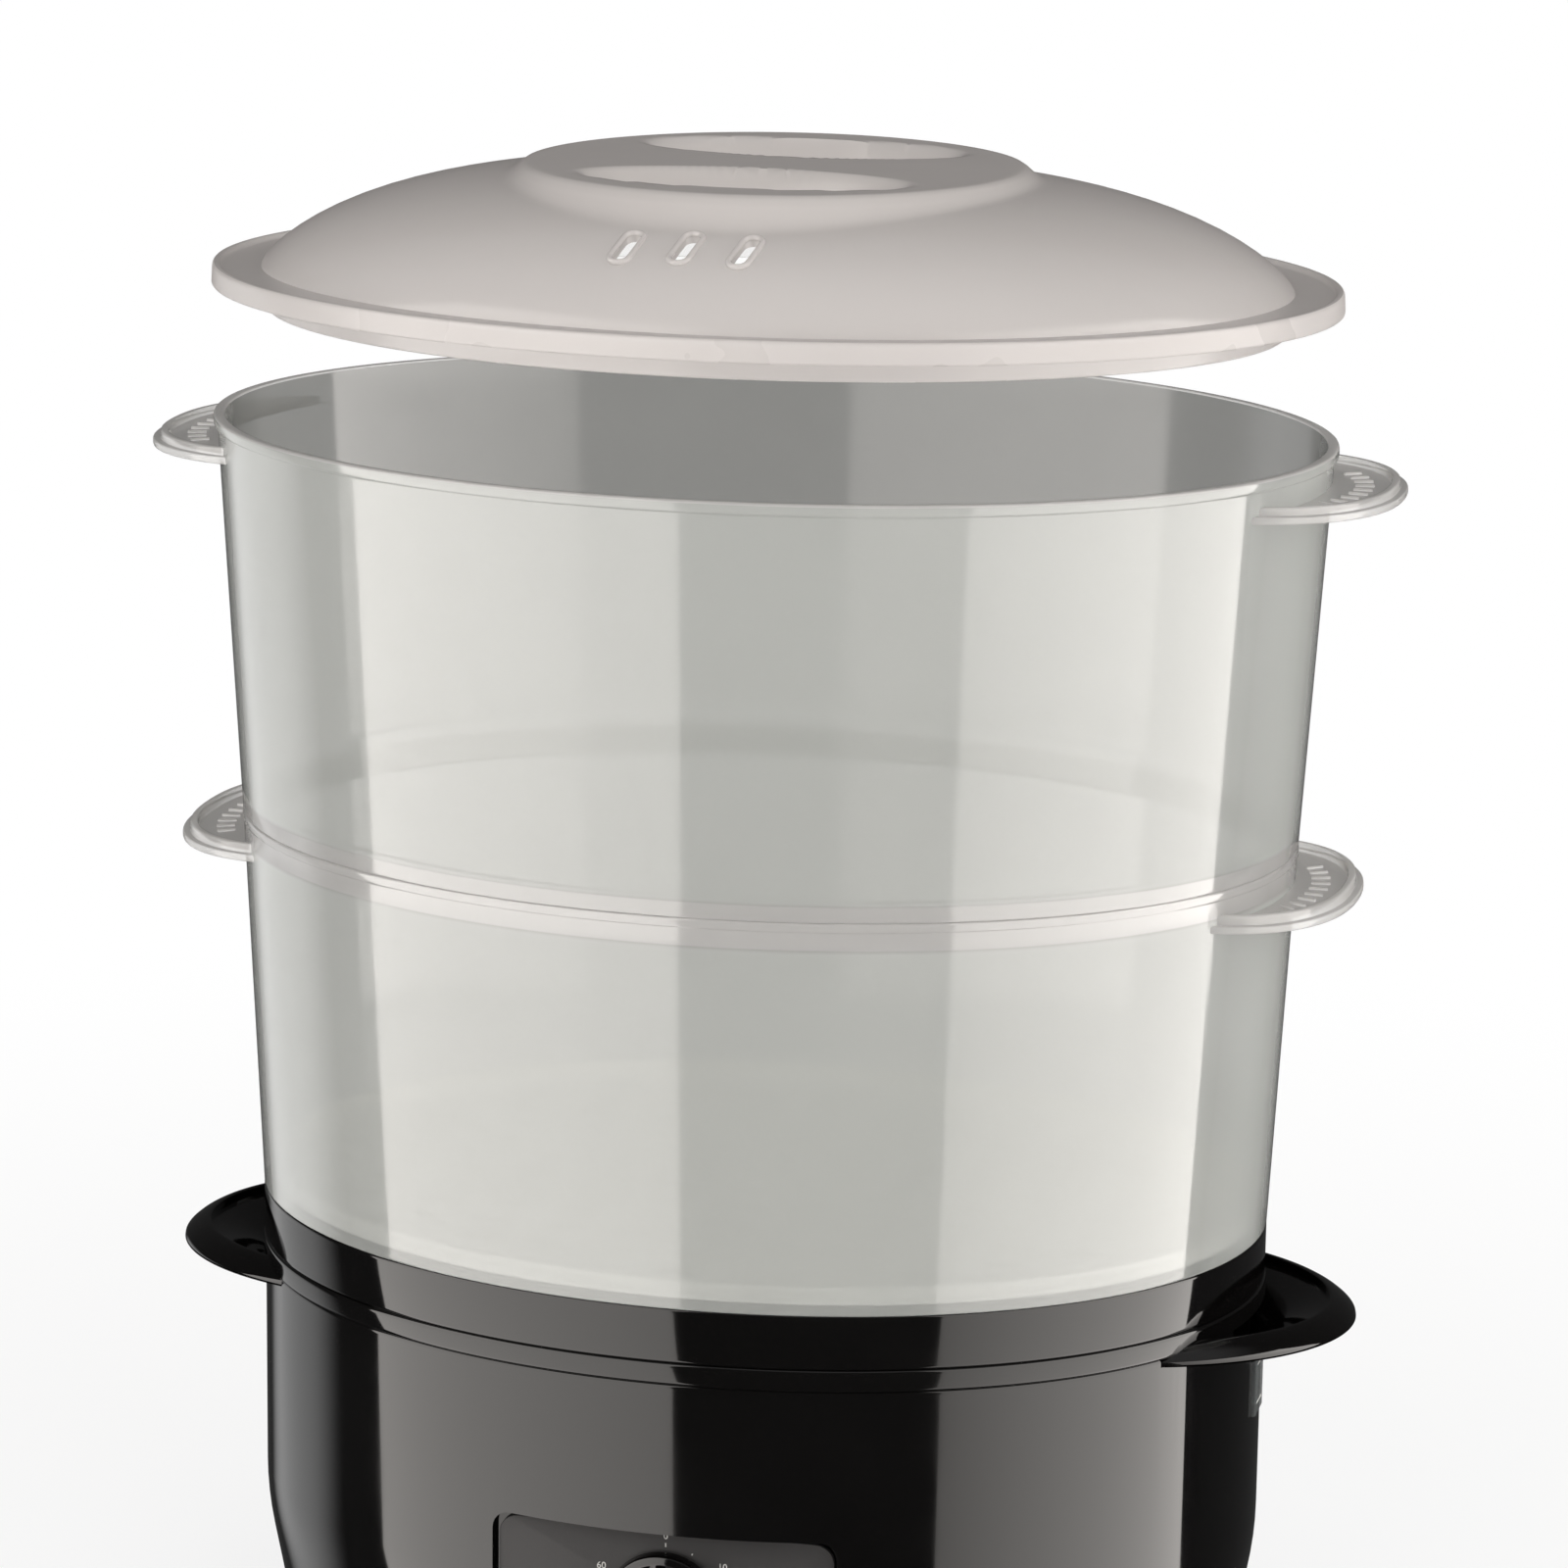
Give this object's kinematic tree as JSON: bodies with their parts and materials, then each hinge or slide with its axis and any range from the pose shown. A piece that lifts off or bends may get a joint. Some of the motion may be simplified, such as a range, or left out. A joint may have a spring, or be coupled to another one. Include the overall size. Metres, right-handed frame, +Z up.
{
  "type": "electric food steamer",
  "caption": "Oval electric steamer with stacked clear bowls, a lift-off domed lid, a perforated tray and a gloss black base with side fill scoops and a timer knob.",
  "frame": {"origin": "on the table, under the middle of the base", "axes": "+Z up, X along the long axis through the ears, the timer knob faces -Y"},
  "size_m": [0.341, 0.2345, 0.4041],
  "materials": {
    "clear_bowl": "clear, slightly milky",
    "frosted_lid": "frosted, smoky",
    "clear_tray": "milky",
    "black_gloss": "high gloss",
    "black_matt": "satin",
    "rubber": "matt",
    "silicone": "matt",
    "steel": "plated",
    "element_alloy": "cast",
    "brass": "turned",
    "grey_plastic": "moulded",
    "red_lens": "clear red",
    "clear_window": "clear",
    "brown_wire": "wire insulation",
    "blue_wire": "wire insulation",
    "green_wire": "wire insulation"
  },
  "bodies": {
    "base": {"base_housing": "black_gloss", "base_body": "black_gloss", "bottom_cover": "black_matt", "rubber_feet": "rubber", "cover_screws": "steel", "heating_plate": "steel", "element_seal": "silicone", "element_clamp": "steel", "clamp_screws": "steel", "heating_tube": "element_alloy", "element_terminals": "brass", "thermostat": "element_alloy", "thermostat_clip": "steel", "thermal_fuse": "grey_plastic", "timer_case": "steel", "timer_back_plate": "steel", "timer_mainspring": "steel", "timer_bell": "steel", "timer_switch": "grey_plastic", "timer_screws": "steel", "control_fascia": "black_matt", "lamp_lens": "red_lens", "pilot_lamp": "clear_window", "water_window": "clear_window", "cord_gland": "black_matt", "terminal_block": "grey_plastic", "live_wire": "brown_wire", "neutral_wire": "blue_wire", "switch_wire": "brown_wire", "earth_wire": "green_wire", "earth_tag": "brass"},
    "steam_ring_body": {"steam_ring": "black_matt"},
    "collector": {"juice_collector": "black_gloss"},
    "lower_tier": {"lower_bowl": "clear_bowl"},
    "tray": {"lower_tray": "clear_tray"},
    "upper_tier": {"upper_bowl": "clear_bowl"},
    "cover": {"lid": "frosted_lid"},
    "knob": {"timer_knob": "black_gloss", "timer_shaft": "steel", "timer_main_wheel": "brass"},
    "escapement": {"escape_pinion": "brass"},
    "hammer": {"bell_hammer": "steel"}
  },
  "joints": [
    {"name": "collector_lift", "type": "slide", "parent": "base", "child": "collector", "axis": [0, 0, 1], "range_m": [0, 0.08]},
    {"name": "steam_ring_lift", "type": "slide", "parent": "base", "child": "steam_ring_body", "axis": [0, 0, 1], "range_m": [0, 0.006]},
    {"name": "lower_bowl_lift", "type": "slide", "parent": "collector", "child": "lower_tier", "axis": [0, 0, 1], "range_m": [0, 0.1]},
    {"name": "tray_lift", "type": "slide", "parent": "lower_tier", "child": "tray", "axis": [0, 0, 1], "range_m": [0, 0.13]},
    {"name": "upper_bowl_lift", "type": "slide", "parent": "lower_tier", "child": "upper_tier", "axis": [0, 0, 1], "range_m": [0, 0.12]},
    {"name": "lid_lift", "type": "slide", "parent": "upper_tier", "child": "cover", "axis": [0, 0, 1], "range_m": [-0.035, 0.1]},
    {"name": "timer_knob_turn", "type": "hinge", "parent": "base", "child": "knob", "pos_m": [0, -0.098, 0.035], "axis": [0, 1, 0], "range_deg": [0, 300]},
    {"name": "escapement_spin", "type": "hinge", "parent": "base", "child": "escapement", "pos_m": [0, -0.084, 0.047], "axis": [0, 1, 0], "range_deg": [-1200, 0]},
    {"name": "hammer_swing", "type": "hinge", "parent": "base", "child": "hammer", "pos_m": [0.01, -0.071, 0.035], "axis": [0, 1, 0], "range_deg": [-22, 0], "stiffness_Nm_per_rad": 0.003}
  ],
  "couplings": [
    {"joint": "escapement_spin", "follows": "timer_knob_turn", "ratio": -4}
  ]
}
